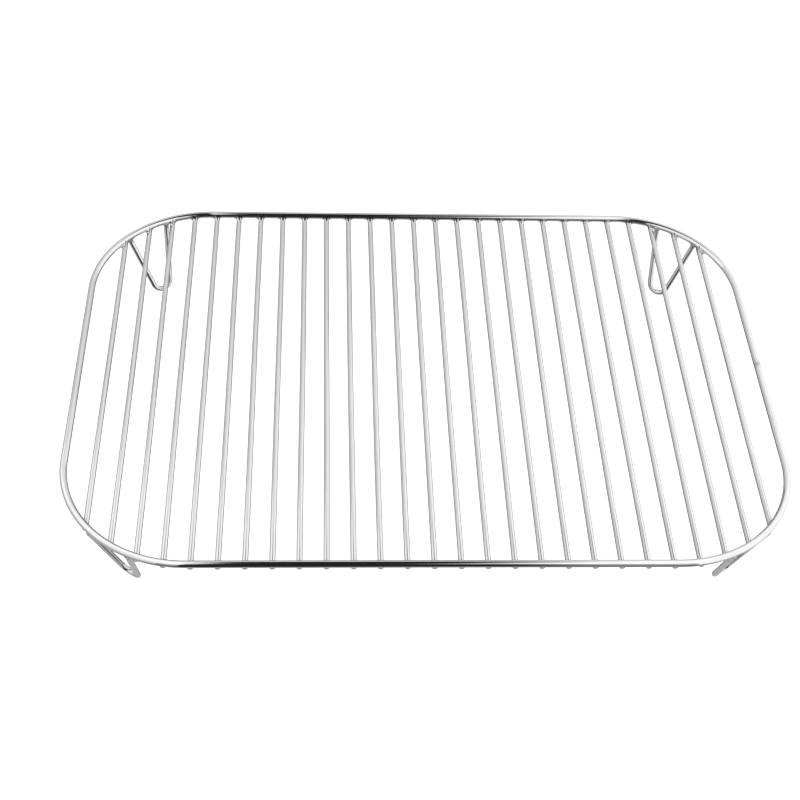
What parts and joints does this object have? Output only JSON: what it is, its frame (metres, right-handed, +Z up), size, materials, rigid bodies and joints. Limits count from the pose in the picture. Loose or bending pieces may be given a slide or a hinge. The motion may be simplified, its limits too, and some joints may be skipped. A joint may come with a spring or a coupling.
{
  "type": "air fryer grill grate",
  "caption": "Rounded rectangular wire grate: parallel straight cross wires welded under a bent rim ring, on short V-shaped wire legs, to hold food up in an air fryer basket.",
  "frame": {"origin": "on the surface that the grate stands on, below the middle of the rim", "axes": "+X along the long side, +Y along the cross wires to the back, +Z up"},
  "size_m": [0.3, 0.213, 0.033],
  "materials": {
    "stainless_wire": "drawn stainless steel wire, electropolished bright"
  },
  "bodies": {
    "root": {"rim": "stainless_wire", "cross_wire_01": "stainless_wire", "cross_wire_02": "stainless_wire", "cross_wire_03": "stainless_wire", "cross_wire_04": "stainless_wire", "cross_wire_05": "stainless_wire", "cross_wire_06": "stainless_wire", "cross_wire_07": "stainless_wire", "cross_wire_08": "stainless_wire", "cross_wire_09": "stainless_wire", "cross_wire_10": "stainless_wire", "cross_wire_11": "stainless_wire", "cross_wire_12": "stainless_wire", "cross_wire_13": "stainless_wire", "cross_wire_14": "stainless_wire", "cross_wire_15": "stainless_wire", "cross_wire_16": "stainless_wire", "cross_wire_17": "stainless_wire", "cross_wire_18": "stainless_wire", "cross_wire_19": "stainless_wire", "cross_wire_20": "stainless_wire", "cross_wire_21": "stainless_wire", "cross_wire_22": "stainless_wire", "cross_wire_23": "stainless_wire", "cross_wire_24": "stainless_wire", "cross_wire_25": "stainless_wire", "cross_wire_26": "stainless_wire", "cross_wire_27": "stainless_wire", "leg_back_right": "stainless_wire", "leg_back_left": "stainless_wire", "leg_front_right": "stainless_wire", "leg_front_left": "stainless_wire"}
  },
  "joints": []
}
